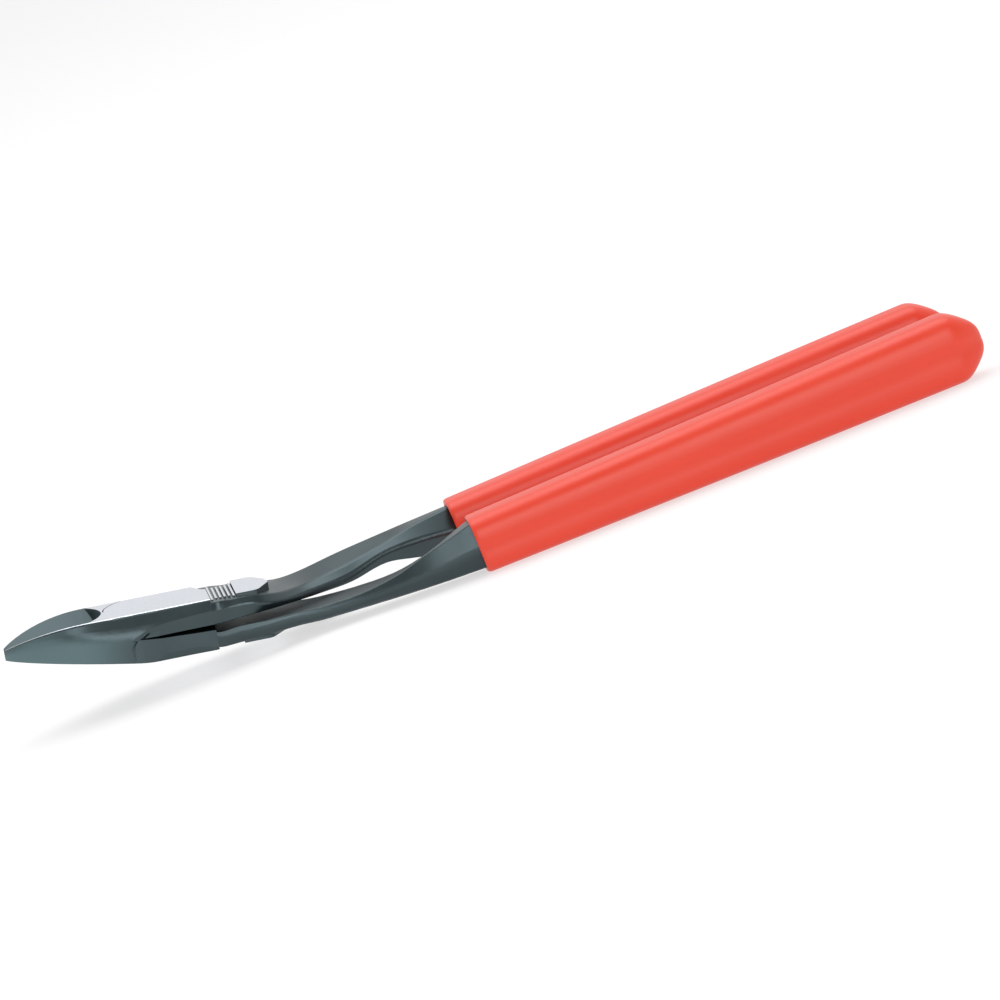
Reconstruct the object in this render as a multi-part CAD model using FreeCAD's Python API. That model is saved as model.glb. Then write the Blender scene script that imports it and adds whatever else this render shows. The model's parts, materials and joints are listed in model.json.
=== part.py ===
"""Diagonal cutting pliers with an angled head, a lap joint and dip-coated handles.

Two steel levers cross at one joint. The upper lever has the near jaw and the far handle,
and the lower lever has the far jaw and the near handle. A rivet fixed in the upper lever
is the axle of the lower one, and each handle wears a soft sleeve.

Everything is built about the joint: X runs from the cutting tip to the handle ends along
the head, Z runs up along the rivet from the lower lever to the upper one, and the near side
is the one at negative Y. At the end the whole tool is tipped about Y into the pose in which
it lies on a table.
"""
import FreeCAD, Part
import math
import os
from FreeCAD import Placement, Rotation, Vector

# ---- driving dimensions, mm and degrees ----
TIP_TO_JOINT = 39.5          # cutting tip to the rivet's axis
UPPER_HANDLE_END = 210.4     # rivet's axis to the sleeves' ends, along the handles
LOWER_HANDLE_END = 211.9
HEAD_THICKNESS = 12.5        # both laps together
BEND = 12.0                  # upward lean of the handles from the head

HEAD_HALF_WIDTH = 14.4       # at the joint
FACE_HALF_WIDTH = 11.3       # ground top face of the head
UNDERSIDE_HALF_WIDTH = 12.8  # at the joint
TIP_HALF_WIDTH = 1.6
TIP_TOP = 1.8                # height of the blunt tip facet above the lap plane
TIP_BOTTOM = -0.6
UNDERSIDE_SLOPE = 0.165      # drop of the jaws' underside per mm from the tip

UPPER_DISC_RADIUS = 13.8     # shoulder between the upper lap and the far jaw
LOWER_DISC_RADIUS = 15.2     # shoulder between the lower lap and the near jaw
SHOULDER_GAP = 0.28          # radial clearance at the shoulders
SHOULDER_SWING = 7.9         # how far behind the joint the far jaw's shoulder swings as the jaws open
LAP_GAP = 0.06               # between the two laps
JAW_GAP = 0.06               # between the closed cutting edges

HOLLOW_END = 25.0            # from the tip to the back of the hollow between the jaws
HOLLOW_RADIUS = 17.6         # curve of its back wall
RIM_THICKNESS = 0.55         # bright rim left along each side of the hollow
EDGE_HEIGHT = 1.3            # cutting edges above the underside
EDGE_LAND = 0.15             # height of the blunted edges

FACE_END = 12.0              # back end of the ground face, from the joint
BAND_DEPTH = 0.85            # recessed band behind it
BAND_END = 18.5              # where the second ground land starts
LAND_END = 27.2              # rounded back end of the second land
UNDERSIDE_LAND_END = 29.8    # rounded back end of the land under the lower lever

RIVET_RADIUS = 5.5
RIVET_HEAD_RADIUS = 7.0
RIVET_TOP = 4.2              # depth of the rivet's blind seat above the lap plane
RIVET_CLEARANCE = 0.04       # radial, in the lower lever

UPPER_SLEEVE_START = 76.5    # from the joint along the handles
LOWER_SLEEVE_START = 77.9
SLEEVE_CAP = 9.6             # length of the rounded ends
SLEEVE_LIP = 0.9             # length of the bevelled lip at the open ends
SLEEVE_WIDTH = 15.0
TANG_END = 202.0             # end of the steel inside the sleeves

TILT_TO_TABLE = 10.64        # turn about Y that lays the undersides of the sleeves on a table
OUT = "parts"

TOP = HEAD_THICKNESS / 2
BOTTOM = -HEAD_THICKNESS / 2
HALF_GAP = LAP_GAP / 2


# ---- small geometry helpers ----

def station_point(along, tilt, across, up):
    """A point in the plane that stands square to a ray from the joint, tilted up by tilt."""
    angle = math.radians(tilt)
    x = along * math.cos(angle) - up * math.sin(angle)
    z = along * math.sin(angle) + up * math.cos(angle)
    return Vector(x, across, z)


def rounded_section(along, tilt, corners, cuts):
    """A closed wire through the corners (across, up), each rounded over its cut length."""
    points = [station_point(along, tilt, across, up) for across, up in corners]
    count = len(points)
    starts, middles, ends = [], [], []
    for index, corner in enumerate(points):
        before = (points[index - 1] - corner).normalize()
        after = (points[(index + 1) % count] - corner).normalize()
        cut = cuts[index]
        half_angle = before.getAngle(after) / 2
        radius = cut * math.tan(half_angle)
        centre_distance = cut / math.cos(half_angle)
        inward = (before + after).normalize()
        starts.append(corner + before * cut)
        ends.append(corner + after * cut)
        middles.append(corner + inward * (centre_distance - radius))
    edges = []
    for index in range(count):
        edges.append(Part.Arc(starts[index], middles[index], ends[index]).toShape())
        edges.append(Part.LineSegment(ends[index], starts[(index + 1) % count]).toShape())
    return Part.Wire(edges)


def polygon_section(along, tilt, corners):
    points = [station_point(along, tilt, across, up) for across, up in corners]
    return Part.makePolygon(points + points[:1])


def loft(wires, straight=False):
    solid = Part.makeLoft(wires, True, straight)
    if solid.Volume < 0:
        solid.reverse()
    return solid


def only_solid(shape):
    """The single solid of a boolean result."""
    if len(shape.Solids) != 1:
        raise ValueError("expected one solid, found %d" % len(shape.Solids))
    return shape.Solids[0]


def block(low, high):
    size = Vector(*high) - Vector(*low)
    return Part.makeBox(size.x, size.y, size.z, Vector(*low))


def plan_prism(points, low, high):
    """A prism with a polygon plan between two heights."""
    wire = Part.makePolygon([Vector(x, y, low) for x, y in points + points[:1]])
    return Part.Face(wire).extrude(Vector(0, 0, high - low))


def even_steps(start, end, count):
    """Evenly spaced values from start to end, with count intervals."""
    return [start + (end - start) * step / count for step in range(count + 1)]


def rise(distance, length):
    """Rises from 0 to 1 along a quarter circle over the length, then stays at 1."""
    part = min(max(distance / length, 0.0), 1.0)
    return 1.0 - (1.0 - part) ** 2


def turned_over(shape):
    """Half a turn about the head's long axis: swaps the laps and the sides."""
    return shape.rotated(Vector(0, 0, 0), Vector(1, 0, 0), 180)


# ---- outlines of the closed jaws, by distance from the tip ----

def face_half_width(distance):
    return TIP_HALF_WIDTH - 0.1 + (FACE_HALF_WIDTH - TIP_HALF_WIDTH + 0.1) * rise(distance, 20.0) ** 0.75


def head_half_width(distance):
    return TIP_HALF_WIDTH + 0.1 + (HEAD_HALF_WIDTH - TIP_HALF_WIDTH - 0.1) * rise(distance, 34.0) ** 0.72


def face_height(distance):
    return TIP_TOP + (TOP - TIP_TOP) * rise(distance, 21.0) ** 0.9


def underside_height(distance):
    return max(TIP_BOTTOM - UNDERSIDE_SLOPE * distance, BOTTOM)


def head_section(distance):
    """Full section of the closed head: flat top, bulging sides, flat underside."""
    top = face_height(distance)
    bottom = underside_height(distance)
    face = face_half_width(distance)
    widest = head_half_width(distance)
    under = widest * UNDERSIDE_HALF_WIDTH / HEAD_HALF_WIDTH
    waist = bottom + 0.6 * (top - bottom)
    size = top - bottom
    corners = [(-face, top), (-widest, waist), (-under, bottom),
               (under, bottom), (widest, waist), (face, top)]
    cuts = [0.05 * size, 0.2 * size, 0.04 * size, 0.04 * size, 0.2 * size, 0.05 * size]
    return rounded_section(distance - TIP_TO_JOINT, 0, corners, cuts)


def closed_head():
    length = TIP_TO_JOINT + FACE_END
    return loft([head_section(distance) for distance in even_steps(0, length, 16)])


def hollow_cutter():
    """The V-shaped hollow ground between the jaws, with a curved back wall."""
    wires = []
    for distance in even_steps(-1.0, HOLLOW_END + 3, 12):
        inside = max(distance, 0.0)
        edge = underside_height(inside) + EDGE_HEIGHT
        rim = face_half_width(inside) - RIM_THICKNESS
        height = face_height(inside) - edge
        reach = 1.4
        corners = [(0, edge), (rim * reach, edge + height * reach), (-rim * reach, edge + height * reach)]
        wires.append(polygon_section(distance - TIP_TO_JOINT, 0, corners))
    groove = loft(wires, True)
    centre = Vector(HOLLOW_END - HOLLOW_RADIUS - TIP_TO_JOINT, 0, BOTTOM)
    back_wall = Part.makeCone(HOLLOW_RADIUS - 1.6, HOLLOW_RADIUS + 0.6, HEAD_THICKNESS + 4, centre)
    return groove.common(back_wall)


def edge_bevel_cutter():
    """The small bevel under the cutting edges."""
    wires = []
    for distance in (-1.0, HOLLOW_END):
        bottom = TIP_BOTTOM - UNDERSIDE_SLOPE * distance
        height = EDGE_HEIGHT - EDGE_LAND
        corners = [(0, bottom + height), (-2 * height, bottom - height), (2 * height, bottom - height)]
        wires.append(polygon_section(distance - TIP_TO_JOINT, 0, corners))
    return loft(wires, True)


def side_groove_cutter():
    """The open V between the laps along the near side; its upper edge rises from the shoulder."""
    wires = []
    outside = HEAD_HALF_WIDTH + 3
    chamfer_start = HEAD_HALF_WIDTH - 5
    steepness = 0.19
    for along, side, ridge, opening in ((-8.6, 13.95, 0.1, 0.05), (-6.6, 13.9, 1.2, 0.3), (-4.4, 13.65, 2.1, 0.6),
                                        (-1.0, 13.4, 2.8, 0.9), (3.0, 13.2, 3.15, 1.1), (FACE_END, 12.94, 3.6, 1.8)):
        lip = side - steepness * ridge
        drop = opening * (outside - chamfer_start) / (HEAD_HALF_WIDTH - chamfer_start)
        corners = [(-lip, 0), (-chamfer_start, 0), (-outside, -drop),
                   (-outside, ridge + (outside - side) / steepness)]
        wires.append(polygon_section(along, 0, corners))
    return loft(wires, True)


def side_facet_region(top):
    """Everything outside the three flat facets on the near side of the lower lap, up to a height."""
    inner = [(-11.0, -12.3), (-6.4, -12.5), (-0.9, -13.15), (6.9, -13.2), (FACE_END, -12.95)]
    outer = [(FACE_END, -20.0), (-11.0, -20.0)]
    return plan_prism(inner + outer, BOTTOM - 2, top)


def side_facet_cutter():
    return side_facet_region(-HALF_GAP)


def shoulder_pocket_cutter():
    """The rounded front end of the side groove, sloping in from the near jaw's skin to the facets."""
    outline = [(-5.2, 1.3), (-6.6, 0.45), (-8.0, -0.35), (-9.2, -1.3), (-9.8, -2.4),
               (-10.0, -3.4), (-9.9, -4.6), (-9.3, -5.9), (-8.4, -7.4)]
    skin = -14.0
    slope = 1.4
    wires = []
    for depth in (-1.4, 1.8):
        points = [Vector(x + slope * depth, skin + depth, z) for x, z in outline]
        curve = Part.BSplineCurve()
        curve.interpolate(points)
        low_back = Vector(5.0, skin + depth, outline[-1][1])
        high_back = Vector(5.0, skin + depth, outline[0][1])
        straight = [Part.LineSegment(points[-1], low_back), Part.LineSegment(low_back, high_back),
                    Part.LineSegment(high_back, points[0])]
        wires.append(Part.Wire([curve.toShape()] + [line.toShape() for line in straight]))
    return loft(wires, True).common(side_facet_region(TOP))


def face_corner_cutter():
    """Bevels the far back corner of the ground face."""
    plan = [(FACE_END - 3.4, FACE_HALF_WIDTH + 4), (FACE_END - 3.4, FACE_HALF_WIDTH), (FACE_END - 1.2, 5.0),
            (FACE_END + 1, 2.5), (FACE_END + 1, FACE_HALF_WIDTH + 4)]
    return plan_prism(plan, TOP - BAND_DEPTH, TOP + 1)


# ---- the levers ----

def upper_lap_region():
    """Where the head belongs to the upper lever: near jaw, disc and everything above the laps."""
    near_half = block((-60, -30, -20), (0, -JAW_GAP / 2, 20))
    disc = Part.makeCylinder(UPPER_DISC_RADIUS, 20, Vector(0, 0, HALF_GAP))
    behind = block((0, -30, HALF_GAP), (60, 30, 20))
    swing_room = block((0, 0, -1), (SHOULDER_SWING, 30, 21)).cut(disc)
    region = near_half.fuse(disc).fuse(behind).cut(swing_room)
    lower_disc = Part.makeCylinder(LOWER_DISC_RADIUS + SHOULDER_GAP, 20 + HALF_GAP, Vector(0, 0, -20))
    below = block((0, -30, -20), (60, 30, HALF_GAP))
    return region.cut(lower_disc).cut(below)


def lower_lap_region():
    """Where the head belongs to the lower lever: far jaw, disc and everything below the laps."""
    far_half = block((-60, JAW_GAP / 2, -20), (0, 30, 20))
    disc = Part.makeCylinder(LOWER_DISC_RADIUS, 20 - HALF_GAP, Vector(0, 0, -20))
    behind = block((0, -30, -20), (60, 30, -HALF_GAP))
    region = far_half.fuse(disc).fuse(behind)
    upper_disc = Part.makeCylinder(UPPER_DISC_RADIUS + SHOULDER_GAP, 20 + HALF_GAP, Vector(0, 0, -HALF_GAP))
    above = block((0, -30, -HALF_GAP), (60, 30, 20))
    return region.cut(upper_disc).cut(above)


# Handle sections: distance along, tilt, then (across, up) for the six edges in order:
# inner top, inner side, inner bottom, outer bottom, outer side, outer top.
UPPER_HANDLE = [
    (FACE_END, 0, (-11.83, 5.4), (-12.94, 3.6), (-12.26, HALF_GAP), (12.6, 1.7), (13.6, 3.1), (11.75, 5.4)),
    (20.0, 4, (-11.1, 4.0), (-12.3, 2.1), (-11.5, -1.0), (11.6, -0.1), (13.0, 1.6), (11.4, 3.8)),
    (25.0, 7, (-10.0, 1.8), (-11.3, -0.5), (-9.8, -2.6), (11.3, -2.7), (12.7, -0.9), (11.2, 1.8)),
    (30.0, 10, (-5.0, -1.8), (-7.6, -3.6), (-6.6, -4.9), (11.3, -5.0), (12.7, -3.0), (11.3, -1.1)),
    (37.0, 12, (1.4, -4.5), (-1.6, -6.2), (-1.4, -7.6), (11.8, -7.9), (13.2, -5.2), (12.0, -2.6)),
    (47.0, 12, (5.8, -5.0), (3.4, -7.4), (3.6, -9.1), (13.2, -9.4), (15.0, -6.0), (13.6, -2.4)),
    (57.0, 12, (9.2, -4.6), (6.8, -6.2), (7.6, -8.9), (15.6, -9.8), (17.4, -6.6), (15.8, -2.7)),
    (66.0, 12, (12.3, -3.6), (9.0, -6.9), (9.8, -11.5), (17.6, -12.4), (19.6, -8.0), (17.8, -3.1)),
    (78.5, 12, (15.4, -3.3), (10.9, -9.0), (12.0, -14.6), (19.5, -15.0), (21.3, -9.6), (19.8, -3.6)),
]
LOWER_HANDLE = [
    (FACE_END, 0, (12.9, -HALF_GAP), (13.4, -2.9), (12.2, -5.8), (-12.4, -5.8), (-13.1, -3.2), (-12.95, -1.8)),
    (20.0, 4, (11.6, -2.4), (12.4, -4.8), (9.6, -7.0), (-11.6, -7.1), (-13.0, -4.8), (-12.7, -2.8)),
    (29.0, 10, (6.6, -6.4), (7.4, -8.2), (3.6, -9.8), (-11.0, -10.1), (-12.6, -8.2), (-12.2, -6.4)),
    (37.0, 12, (0.6, -8.4), (0.4, -10.4), (-3.2, -12.1), (-11.6, -12.4), (-13.4, -10.6), (-12.7, -8.7)),
    (47.0, 12, (-3.6, -9.1), (-3.8, -11.0), (-6.0, -13.1), (-13.0, -13.3), (-15.3, -11.2), (-14.5, -9.2)),
    (57.0, 12, (-7.4, -9.0), (-6.8, -11.2), (-8.0, -13.8), (-15.0, -14.0), (-17.7, -11.2), (-16.7, -8.2)),
    (66.0, 12, (-9.6, -7.4), (-8.6, -10.6), (-9.8, -14.2), (-16.8, -14.5), (-19.9, -10.8), (-18.8, -5.8)),
    (78.5, 12, (-11.7, -3.2), (-10.7, -8.9), (-11.9, -14.7), (-18.6, -15.0), (-21.5, -9.9), (-20.0, -2.9)),
]
# Rounding cut lengths of the six corners, where the handle leaves the head and along the bar behind.
UPPER_CUTS = ([0.25, 0.15, 0.15, 0.25, 0.4, 0.4], [0.5, 0.9, 0.25, 0.25, 1.2, 0.7])
LOWER_CUTS = ([0.2, 0.3, 0.4, 0.4, 0.4, 0.2], [0.25, 0.7, 0.7, 0.9, 1.3, 0.25])
ROUNDING_LENGTH = 22.0       # distance over which the corners reach their full rounding


def between(rows, along):
    """The section at a place between two stations, on smooth curves through all of them."""
    last = len(rows) - 2
    index = max(number for number in range(last + 1) if rows[number][0] <= along or number == 0)
    here, there = rows[index], rows[index + 1]
    before, after = rows[max(index - 1, 0)], rows[min(index + 2, last + 1)]
    span = there[0] - here[0]
    share = (along - here[0]) / span

    def blend(pick):
        start, end = pick(here), pick(there)
        start_slope = (end - pick(before)) / (there[0] - before[0]) * span
        end_slope = (pick(after) - start) / (after[0] - here[0]) * span
        return ((2 * share ** 3 - 3 * share ** 2 + 1) * start + (share ** 3 - 2 * share ** 2 + share) * start_slope
                + (3 * share ** 2 - 2 * share ** 3) * end + (share ** 3 - share ** 2) * end_slope)

    tilt = blend(lambda row: row[1])
    corners = [(blend(lambda row: row[2 + number][0]), blend(lambda row: row[2 + number][1])) for number in range(6)]
    return tilt, corners


def tang_section(side, along, inner, outer, top, bottom):
    """Section of the plain bar inside the sleeve."""
    middle = (top + bottom) / 2
    corners = [(inner + 0.6, top), (inner, middle), (inner + 0.6, bottom),
               (outer - 1.6, bottom), (outer, middle), (outer - 1.4, top)]
    return rounded_section(along, BEND, [(side * across, up) for across, up in corners], [0.5] * 6)


def handle(rows, cuts, side):
    """The neck and bare handle as one smooth body, and the straight tang behind it."""
    first, last = rows[0][0], rows[-1][0]
    wires = []
    for along in even_steps(first, last, 16):
        tilt, corners = between(rows, along)
        share = min((along - first) / ROUNDING_LENGTH, 1.0)
        here = [front + (back - front) * share for front, back in zip(*cuts)]
        wires.append(rounded_section(along, tilt, corners, here))
    tang = [wires[-1], tang_section(side, last + 8, 11.6, 21.0, -3.5, -15.6),
            tang_section(side, 140, 12.0, 21.4, -3.8, -16.2), tang_section(side, TANG_END, 12.4, 20.2, -5.4, -15.6)]
    return loft(wires).fuse(loft(tang, True))


def second_land(end):
    """The second ground land, a low tongue with a rounded end behind the recessed band."""
    low = TOP - 2.5
    near, far = -10.8, 9.0
    reach = end - BAND_END
    body = plan_prism([(BAND_END, near), (BAND_END + 0.62 * reach, near), (end, near + 8.2),
                       (BAND_END + 0.9 * reach, 3.2), (BAND_END + 0.55 * reach, far), (BAND_END, far)], low, TOP)
    upright = [edge for edge in body.Edges if abs(edge.tangentAt(edge.FirstParameter).z) > 0.9
               and edge.Vertexes[0].X > BAND_END + 1]
    return body.makeFillet(2.2, upright)


def band_bars():
    """Plain parallel bars standing in the recessed band, the outer two longer."""
    floor = TOP - BAND_DEPTH
    count = 6
    pitch = (BAND_END - FACE_END - 1.1) / (count - 1)
    bars = []
    for number in range(count):
        start = FACE_END + 0.3 + pitch * number
        outermost = number in (0, count - 1)
        near, far = (-10.2, 8.6) if outermost else (-9.0, 6.6)
        bars.append(block((start, near, floor - 1.5), (start + 0.5, far, floor + 0.4)))
    return bars


def rivet_seat():
    return Part.makeCylinder(RIVET_RADIUS, RIVET_TOP, Vector(0, 0, 0))


def rivet_body(clearance, beyond):
    """The rivet's shank below the lap plane and its countersunk head, reaching beyond the underside."""
    base = Vector(0, 0, BOTTOM - beyond)
    shank = Part.makeCylinder(RIVET_RADIUS + clearance, -base.z, base)
    depth = RIVET_HEAD_RADIUS - RIVET_RADIUS + beyond
    narrow = RIVET_RADIUS + clearance
    return shank.fuse(Part.makeCone(narrow + depth, narrow, depth, base))


def upper_lever(head):
    groove = side_groove_cutter()
    cutters = [groove, turned_over(groove), face_corner_cutter(), shoulder_pocket_cutter()]
    front = head.common(upper_lap_region()).cut(cutters)
    back = handle(UPPER_HANDLE, UPPER_CUTS, 1)
    lever = front.fuse([back, second_land(LAND_END)] + band_bars())
    return only_solid(lever.cut(rivet_seat()))


def lower_lever(head):
    groove = side_groove_cutter()
    front = head.common(lower_lap_region()).cut([groove, turned_over(groove), side_facet_cutter()])
    back = handle(LOWER_HANDLE, LOWER_CUTS, -1)
    underside_land = second_land(UNDERSIDE_LAND_END).mirror(Vector(0, 0, 0), Vector(0, 0, 1))
    lever = front.fuse([back, underside_land])
    return only_solid(lever.cut(rivet_body(RIVET_CLEARANCE, 1.0)))


def joint_rivet():
    return only_solid(rivet_body(0.0, 0.0).fuse(rivet_seat()).removeSplitter())


# ---- the sleeves ----

def sleeve_section(side, along, size):
    """Soft-cornered section of a sleeve; size shrinks it towards the rounded end."""
    share = min(max((along - LOWER_SLEEVE_START) / (LOWER_HANDLE_END - LOWER_SLEEVE_START), 0), 1)
    top = -1.8 + (0.5 * share if side < 0 else 0)
    bottom = -16.1 - 3.2 * share
    bow = 16.2 + 0.7 * math.sin(math.pi * share)
    middle = (top + bottom) / 2
    half_height = (top - bottom) / 2 * size
    half_width = SLEEVE_WIDTH / 2 * size
    corners = [(-0.72, 1.0), (-1.0, 0.0), (-0.72, -1.0), (0.72, -1.0), (1.0, 0.0), (0.72, 1.0)]
    corners = [(side * (bow - across * half_width), middle + up * half_height) for across, up in corners]
    cuts = [0.34 * half_height * soft for soft in (1.0, 1.1, 1.0, 1.0, 1.1, 1.0)]
    return rounded_section(along, BEND, corners, cuts)


def sleeve(side, start, end, lever):
    """A closed-end sleeve on one handle, with a bevelled lip and a rounded end."""
    straight_start = start + SLEEVE_LIP
    straight_end = end - SLEEVE_CAP
    body = [sleeve_section(side, along, 1.0) for along in even_steps(straight_start, straight_end, 12)]
    lip = [sleeve_section(side, start, 0.94), body[0]]
    cap = [body[-1]]
    for angle in even_steps(0, 84, 7)[1:]:
        along = straight_end + SLEEVE_CAP * math.sin(math.radians(angle))
        cap.append(sleeve_section(side, along, math.cos(math.radians(angle))))
    return only_solid(loft(body).fuse([loft(lip, True), loft(cap, True)]).cut(lever))


# ---- the whole tool, laid on the table ----

def lay_down(shapes):
    """Tips the tool about Y and puts the origin under the middle of its box."""
    tipped = {name: shape.rotated(Vector(0, 0, 0), Vector(0, 1, 0), TILT_TO_TABLE) for name, shape in shapes.items()}
    box = FreeCAD.BoundBox()
    for shape in tipped.values():
        for point in shape.tessellate(0.05)[0]:
            box.add(point)
    shift = Vector(-box.Center.x, -box.Center.y, -box.ZMin)
    return {name: shape.translated(shift) for name, shape in tipped.items()}, shift


def main():
    head = closed_head().cut(hollow_cutter()).cut(edge_bevel_cutter())
    upper = upper_lever(head)
    lower = lower_lever(head)
    shapes = {
        "upper_lever": upper,
        "lower_lever": lower,
        "joint_rivet": joint_rivet(),
        "upper_lever_sleeve": sleeve(1, UPPER_SLEEVE_START, UPPER_HANDLE_END, upper),
        "lower_lever_sleeve": sleeve(-1, LOWER_SLEEVE_START, LOWER_HANDLE_END, lower),
    }
    placed, shift = lay_down(shapes)
    os.makedirs(OUT, exist_ok=True)
    for name, shape in placed.items():
        shape.exportStep(os.path.join(OUT, name + ".step"))
        print(name, "valid", shape.isValid(), "solids", len(shape.Solids), "volume", round(shape.Volume, 1))
    print("origin of the joint", shift)


main()
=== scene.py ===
import json
import math

import bpy
from mathutils import Matrix, Vector


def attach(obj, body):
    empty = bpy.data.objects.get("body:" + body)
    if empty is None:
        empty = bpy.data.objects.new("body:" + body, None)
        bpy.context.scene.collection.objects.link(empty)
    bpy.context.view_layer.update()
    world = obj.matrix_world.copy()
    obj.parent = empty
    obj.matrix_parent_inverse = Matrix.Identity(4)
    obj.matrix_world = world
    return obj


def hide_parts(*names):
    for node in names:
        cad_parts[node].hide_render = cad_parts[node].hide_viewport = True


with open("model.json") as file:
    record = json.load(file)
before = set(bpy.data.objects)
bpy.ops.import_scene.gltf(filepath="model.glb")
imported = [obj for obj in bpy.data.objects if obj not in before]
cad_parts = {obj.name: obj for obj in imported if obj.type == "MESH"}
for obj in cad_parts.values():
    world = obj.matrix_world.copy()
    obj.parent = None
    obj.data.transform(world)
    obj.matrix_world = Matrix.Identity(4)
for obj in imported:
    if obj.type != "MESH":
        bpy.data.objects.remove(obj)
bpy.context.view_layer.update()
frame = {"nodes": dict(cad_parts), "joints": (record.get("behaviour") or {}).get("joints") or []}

# ---- sizes, in metres ----
BEND = math.radians(12.0)         # lean of the handles from the head
HANDLE_END = 0.2123               # back end of the longer handle, from the joint
LIP_LENGTH = 0.0011               # rounded lip at a grip's open end
CAP_LENGTH = 0.0094
# size of the grip's rounded end, by share of the end's length
CAP_PROFILE = ((0.10, 0.998), (0.20, 0.985), (0.30, 0.950), (0.40, 0.895), (0.50, 0.825), (0.60, 0.745),
               (0.70, 0.655), (0.80, 0.560), (0.87, 0.480), (0.93, 0.390), (0.97, 0.300), (0.99, 0.215),
               (1.00, 0.120))
GRIP_HALF_WIDTH = 0.0075
GRIP_TOP = -0.0018                # from the handles' axis
TOP_RISE = 0.0005                 # of the near grip, over its length
GRIP_BOTTOM = -0.0161
BOTTOM_DROP = 0.0032              # of both grips, over their length
GRIP_BOW = 0.0162                 # middle of a grip from the middle of the tool
BOW_SWELL = 0.0007                # more than that halfway along
SQUARENESS = 0.60                 # of the section: 1 is an ellipse, less is squarer
CREASE = -0.04                    # height of the crease along a grip's side, from -1 to 1
CREASE_DEPTH = 0.095              # as a share of the half width
CREASE_REACH_UP = 0.12            # how far it spreads above and below, on the same scale as CREASE
CREASE_REACH_DOWN = 0.45
RING_POINTS = 96
BODY_RINGS = 40
GRIP_STARTS = {"upper_lever": 0.0765, "lower_lever": 0.0779}
GRIP_ENDS = {"upper_lever": 0.2106, "lower_lever": 0.2123}
GRIP_SIDES = {"upper_lever": 1, "lower_lever": -1}
GROUND_LEVEL = 0.0057             # ground faces stand higher than this above the lap plane
UNDER_LEVEL = -0.0061             # and those underneath are lower than this
FACES_UP = 0.86                   # least upward part of the normal on a ground top face
FACES_DOWN = -0.985
HOLLOW_BACK = -0.0175             # the rims of the hollow lie in front of this, from the joint
LAND_END = 0.0285                 # no ground face lies behind this, from the joint

# ---- camera and floor ----
CAMERA_PLACE = Vector((-0.09175, -1.32413, 0.25795))
CAMERA_AIM = Vector((0.002055, 0.0, 0.012231))
CAMERA_UP = Vector((0.369904, 0.144112, 0.917825))
CAMERA_LENS = 196.68
FLOOR_SIZE = 40.0

# ---- the head's own directions, from the joint ----
JOINT = frame["joints"][0]
CENTRE = Vector(JOINT["pos_m"])
UPWARD = -Vector(JOINT["axis"]).normalized()
FORWARD = Vector((0, 1, 0)).cross(UPWARD).normalized()


# ---- camera, floor and light ----

def add_camera():
    """A long lens low over the table, rolled so that the tool runs up to the right."""
    camera = bpy.data.objects.new("camera", bpy.data.cameras.new("camera"))
    bpy.context.scene.collection.objects.link(camera)
    backward = (CAMERA_PLACE - CAMERA_AIM).normalized()
    right = CAMERA_UP.cross(backward).normalized()
    up = backward.cross(right)
    turn = Matrix((right, up, backward)).transposed()
    camera.matrix_world = Matrix.Translation(CAMERA_PLACE) @ turn.to_4x4()
    camera.data.lens = CAMERA_LENS
    camera.data.sensor_width = 36.0
    camera.data.clip_end = 100.0
    bpy.context.scene.camera = camera


def node_of(tree, kind, **inputs):
    """A new node with some of its inputs set or linked."""
    node = tree.nodes.new(kind)
    for name, value in inputs.items():
        connect(tree, value, node.inputs[name.replace("_", " ")])
    return node


def connect(tree, value, socket):
    if isinstance(value, bpy.types.NodeSocket):
        tree.links.new(value, socket)
    else:
        socket.default_value = value


def math_node(tree, operation, first, second):
    node = tree.nodes.new("ShaderNodeMath")
    node.operation = operation
    connect(tree, first, node.inputs[0])
    connect(tree, second, node.inputs[1])
    return node.outputs[0]


def ramp_between(tree, value, low, high, at_low=0.0, at_high=1.0):
    """Goes smoothly from one number to another as the value goes from low to high."""
    node = tree.nodes.new("ShaderNodeMapRange")
    node.interpolation_type = "SMOOTHSTEP"
    connect(tree, value, node.inputs["Value"])
    limits = {"From Min": low, "From Max": high, "To Min": at_low, "To Max": at_high}
    for name, number in limits.items():
        node.inputs[name].default_value = number
    return node.outputs["Result"]


def mixed(tree, share, first, second):
    node = tree.nodes.new("ShaderNodeMix")
    node.data_type = "RGBA"
    connect(tree, share, node.inputs["Factor"])
    connect(tree, first, node.inputs[6])
    connect(tree, second, node.inputs[7])
    return node.outputs[2]


def add_world():
    """A white studio with a greyer side in front of the table, up to the height of the softbox."""
    world = bpy.data.worlds.new("studio")
    world.use_nodes = True
    tree = world.node_tree
    direction = tree.nodes.new("ShaderNodeTexCoord").outputs["Generated"]
    parts = node_of(tree, "ShaderNodeSeparateXYZ", Vector=direction)
    front = ramp_between(tree, parts.outputs["Y"], 0.1, -0.35)
    low = ramp_between(tree, parts.outputs["Z"], 0.97, 0.80)
    dark = math_node(tree, "MULTIPLY", front, low)
    light = ramp_between(tree, dark, 0.0, 1.0, 0.85, 0.45)
    background = tree.nodes["Background"]
    tree.links.new(light, background.inputs["Color"])
    background.inputs["Strength"].default_value = 1.0
    bpy.context.scene.world = world


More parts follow.
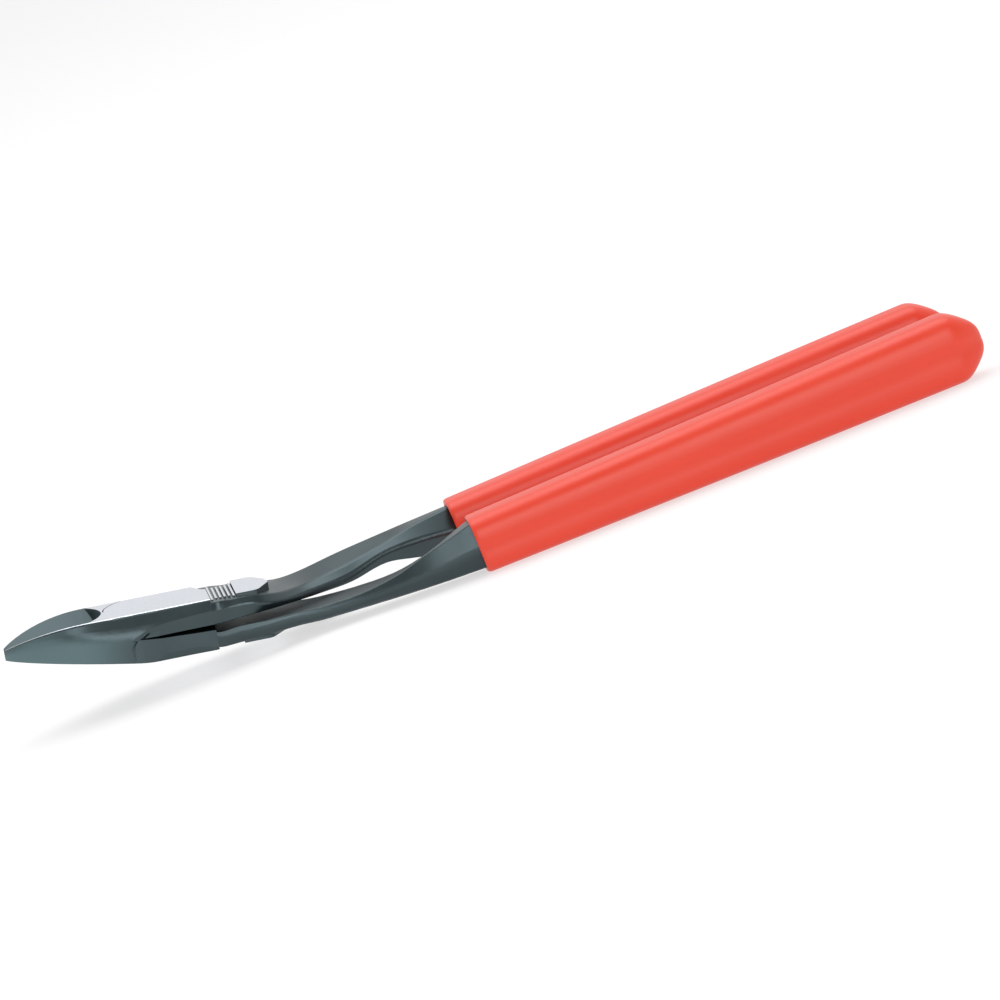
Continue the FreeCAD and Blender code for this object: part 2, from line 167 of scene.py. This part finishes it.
def add_floor():
    """A wide pale floor that glows a little, so that it stays white and its shadows stay faint."""
    half = FLOOR_SIZE / 2
    mesh = bpy.data.meshes.new("floor")
    corners = [(-half, -half, 0), (half, -half, 0), (half, half, 0), (-half, half, 0)]
    mesh.from_pydata(corners, [], [(0, 1, 2, 3)])
    floor = bpy.data.objects.new("floor", mesh)
    bpy.context.scene.collection.objects.link(floor)
    material = bpy.data.materials.new("floor")
    material.use_nodes = True
    shader = material.node_tree.nodes["Principled BSDF"]
    shader.inputs["Base Color"].default_value = (0.36, 0.36, 0.36, 1)
    shader.inputs["Emission Color"].default_value = (1, 1, 1, 1)
    shader.inputs["Emission Strength"].default_value = 0.60
    shader.inputs["Roughness"].default_value = 0.9
    shader.inputs["Specular IOR Level"].default_value = 0.1
    mesh.materials.append(material)


def add_softbox(name, place, aim, size, power):
    data = bpy.data.lights.new(name, "AREA")
    data.shape = "RECTANGLE"
    data.size, data.size_y = size
    data.energy = power
    light = bpy.data.objects.new(name, data)
    light.location = place
    light.rotation_euler = (Vector(aim) - Vector(place)).to_track_quat("-Z", "Y").to_euler()
    bpy.context.scene.collection.objects.link(light)


# ---- materials ----

def new_material(name):
    material = bpy.data.materials.new(name)
    material.use_nodes = True
    return material, material.node_tree, material.node_tree.nodes["Principled BSDF"]


def along_direction(tree, vector, direction):
    node = tree.nodes.new("ShaderNodeVectorMath")
    node.operation = "DOT_PRODUCT"
    connect(tree, vector, node.inputs[0])
    node.inputs[1].default_value = direction
    return node.outputs["Value"]


def noise(tree, place, scale, detail=3.0):
    node = node_of(tree, "ShaderNodeTexNoise", Vector=place, Scale=scale, Detail=detail)
    return node.outputs["Fac"]


def from_joint(tree, place):
    node = tree.nodes.new("ShaderNodeVectorMath")
    node.operation = "SUBTRACT"
    connect(tree, place, node.inputs[0])
    node.inputs[1].default_value = CENTRE
    return node.outputs["Vector"]


def ground_mask(tree, coordinates):
    """1 on the ground faces of the head: flat, and high over the lap plane or beside the hollow."""
    place = from_joint(tree, coordinates.outputs["Object"])
    height = along_direction(tree, place, UPWARD)
    distance = along_direction(tree, place, FORWARD)
    facing = along_direction(tree, coordinates.outputs["Normal"], UPWARD)
    flat_up = math_node(tree, "GREATER_THAN", facing, FACES_UP)
    high = math_node(tree, "GREATER_THAN", height, GROUND_LEVEL)
    on_rim = math_node(tree, "LESS_THAN", distance, HOLLOW_BACK)
    upper = math_node(tree, "MULTIPLY", flat_up, math_node(tree, "MAXIMUM", high, on_rim))
    flat_down = math_node(tree, "LESS_THAN", facing, FACES_DOWN)
    low = math_node(tree, "LESS_THAN", height, UNDER_LEVEL)
    under = math_node(tree, "MULTIPLY", flat_down, low)
    on_head = math_node(tree, "LESS_THAN", distance, LAND_END)
    return math_node(tree, "MULTIPLY", on_head, math_node(tree, "MAXIMUM", upper, under))


def painted_reflection_mask(tree, coordinates):
    """1 where the base colour gets a painted floor reflection: on the jaws' sides, where they turn
    under.
    """
    distance = along_direction(tree, from_joint(tree, coordinates.outputs["Object"]), FORWARD)
    facing = along_direction(tree, coordinates.outputs["Normal"], UPWARD)
    turned = ramp_between(tree, facing, 0.35, -0.15)
    return math_node(tree, "MULTIPLY", turned, ramp_between(tree, distance, -0.004, -0.022))


def grind_lines(tree, coordinates):
    """Fine scratches across the tool."""
    place = coordinates.outputs["Object"]
    mapping = node_of(tree, "ShaderNodeMapping", Vector=place, Scale=(3000, 60, 60))
    return noise(tree, mapping.outputs["Vector"], 1.0, 2.0)


def bump(tree, height, strength, distance):
    node = node_of(tree, "ShaderNodeBump", Height=height, Strength=strength, Distance=distance)
    return node.outputs["Normal"]


def tool_steel():
    """Satin steel with a dark oxide finish, bright ground faces, and a painted floor reflection that
    lightens the jaws' sides where they turn under.
    """
    material, tree, shader = new_material("tool_steel")
    coordinates = tree.nodes.new("ShaderNodeTexCoord")
    place = coordinates.outputs["Object"]
    ground = ground_mask(tree, coordinates)
    cloud = noise(tree, place, 90.0)
    grain = noise(tree, place, 2600.0)
    oxide = mixed(tree, cloud, (0.052, 0.070, 0.077, 1), (0.075, 0.098, 0.104, 1))
    # painted reflection: a lighter base colour on the jaw sides that turn under, standing in for the
    # floor reflected there
    dark = mixed(tree, painted_reflection_mask(tree, coordinates), oxide, (0.125, 0.185, 0.195, 1))
    bright = mixed(tree, grind_lines(tree, coordinates), (0.70, 0.74, 0.81, 1), (0.80, 0.83, 0.89, 1))
    connect(tree, mixed(tree, ground, dark, bright), shader.inputs["Base Color"])
    satin = ramp_between(tree, cloud, 0.3, 0.7, 0.30, 0.38)
    polished = ramp_between(tree, ground, 0.0, 1.0, 0.0, -0.10)
    connect(tree, math_node(tree, "ADD", satin, polished), shader.inputs["Roughness"])
    connect(tree, bump(tree, grain, 0.12, 0.00003), shader.inputs["Normal"])
    shader.inputs["Metallic"].default_value = 1.0
    return material


def rivet_steel():
    material, tree, shader = new_material("rivet_steel")
    coordinates = tree.nodes.new("ShaderNodeTexCoord")
    lines = grind_lines(tree, coordinates)
    color = mixed(tree, lines, (0.55, 0.57, 0.60, 1), (0.68, 0.70, 0.73, 1))
    connect(tree, color, shader.inputs["Base Color"])
    connect(tree, bump(tree, lines, 0.1, 0.00003), shader.inputs["Normal"])
    shader.inputs["Metallic"].default_value = 1.0
    shader.inputs["Roughness"].default_value = 0.3
    return material


def dipped_grip():
    """Thick satin vinyl left by dipping, with slight waves in the skin."""
    material, tree, shader = new_material("dipped_grip")
    place = tree.nodes.new("ShaderNodeTexCoord").outputs["Object"]
    stretched = node_of(tree, "ShaderNodeMapping", Vector=place, Scale=(0.25, 1.0, 1.0))
    cloud = noise(tree, stretched.outputs["Vector"], 160.0)
    color = mixed(tree, cloud, (0.70, 0.040, 0.014, 1), (0.76, 0.052, 0.020, 1))
    connect(tree, color, shader.inputs["Base Color"])
    waves = bump(tree, cloud, 0.18, 0.0004)
    grain = noise(tree, place, 2200.0)
    fine = node_of(tree, "ShaderNodeBump", Height=grain, Strength=0.08, Distance=0.00004, Normal=waves)
    connect(tree, fine.outputs["Normal"], shader.inputs["Normal"])
    connect(tree, ramp_between(tree, cloud, 0.3, 0.7, 0.34, 0.42), shader.inputs["Roughness"])
    shader.inputs["Specular IOR Level"].default_value = 0.5
    return material


# ---- the dipped grips ----

def handle_point(along, across, up):
    """A point by its place along the bent handles, across the tool, and up from their axis."""
    x = along * math.cos(BEND) - up * math.sin(BEND)
    z = along * math.sin(BEND) + up * math.cos(BEND)
    return CENTRE + FORWARD * x + Vector((0, 1, 0)) * across + UPWARD * z


def soft_power(value, power):
    return math.copysign(abs(value) ** power, value)


def grip_section(side, along, size):
    """One ring of a grip: a soft rounded box with a shallow crease along its outer side."""
    start = GRIP_STARTS["lower_lever"]
    share = min(max((along - start) / (HANDLE_END - start), 0.0), 1.0)
    top = GRIP_TOP + (TOP_RISE * share if side < 0 else 0.0)
    bottom = GRIP_BOTTOM - BOTTOM_DROP * share
    bow = GRIP_BOW + BOW_SWELL * math.sin(math.pi * share)
    half_height = (top - bottom) / 2
    ring = []
    for index in range(RING_POINTS):
        angle = 2 * math.pi * index / RING_POINTS
        outward = soft_power(math.cos(angle), SQUARENESS)
        upward = soft_power(math.sin(angle), SQUARENESS)
        reach = CREASE_REACH_UP if upward > CREASE else CREASE_REACH_DOWN
        crease = math.exp(-((upward - CREASE) / reach) ** 2) if outward > 0 else 0.0
        across = bow + size * GRIP_HALF_WIDTH * (outward - CREASE_DEPTH * crease)
        ring.append(handle_point(along, side * across, (top + bottom) / 2 + size * half_height * upward))
    return ring


def grip_stations(start, end):
    """Places along a grip with the ring size at each: tucked lip, rounded lip, body, rounded end."""
    stations = [(start + 0.0010, 0.70), (start + 0.0002, 0.86)]
    for step in range(5):
        angle = math.pi / 2 * step / 4
        stations.append((start + LIP_LENGTH * (1 - math.cos(angle)), 0.92 + 0.08 * math.sin(angle)))
    first, last = start + LIP_LENGTH, end - CAP_LENGTH
    stations += [(first + (last - first) * step / BODY_RINGS, 1.0) for step in range(1, BODY_RINGS + 1)]
    stations += [(last + CAP_LENGTH * share, size) for share, size in CAP_PROFILE]
    return stations


def tube_mesh(name, rings):
    """A closed quad mesh through the rings, with both ends filled."""
    count = len(rings[0])
    points = [point for ring in rings for point in ring]
    faces = []
    for row in range(len(rings) - 1):
        for index in range(count):
            following = (index + 1) % count
            low, high = row * count, (row + 1) * count
            faces.append((low + index, low + following, high + following, high + index))
    faces.append(tuple(range(count))[::-1])
    faces.append(tuple(range(len(points) - count, len(points))))
    mesh = bpy.data.meshes.new(name)
    mesh.from_pydata(points, [], faces)
    mesh.update()
    mesh.shade_smooth()
    return mesh


def add_grip(lever, material):
    side = GRIP_SIDES[lever]
    stations = grip_stations(GRIP_STARTS[lever], GRIP_ENDS[lever])
    rings = [grip_section(side, along, size) for along, size in stations]
    if side < 0:
        rings = [ring[::-1] for ring in rings]
    grip = bpy.data.objects.new(lever + "_grip", tube_mesh(lever + "_grip", rings))
    bpy.context.scene.collection.objects.link(grip)
    grip.data.materials.append(material)
    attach(grip, lever)
    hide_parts(lever + "_sleeve")


def paint(node_name, material):
    node = frame["nodes"][node_name]
    node.data.materials.clear()
    node.data.materials.append(material)


add_camera()
add_world()
add_floor()
add_softbox("overhead", (0.0, 0.5, 1.8), (0, 0, 0), (2.6, 1.6), 24.0)
add_softbox("front", (0.4, -3.2, 1.0), (0, 0, 0), (3.0, 1.6), 44.0)
bpy.context.scene.view_settings.view_transform = "Standard"

steel = tool_steel()
paint("upper_lever", steel)
paint("lower_lever", steel)
paint("joint_rivet", rivet_steel())
vinyl = dipped_grip()
for lever_name in GRIP_SIDES:
    add_grip(lever_name, vinyl)
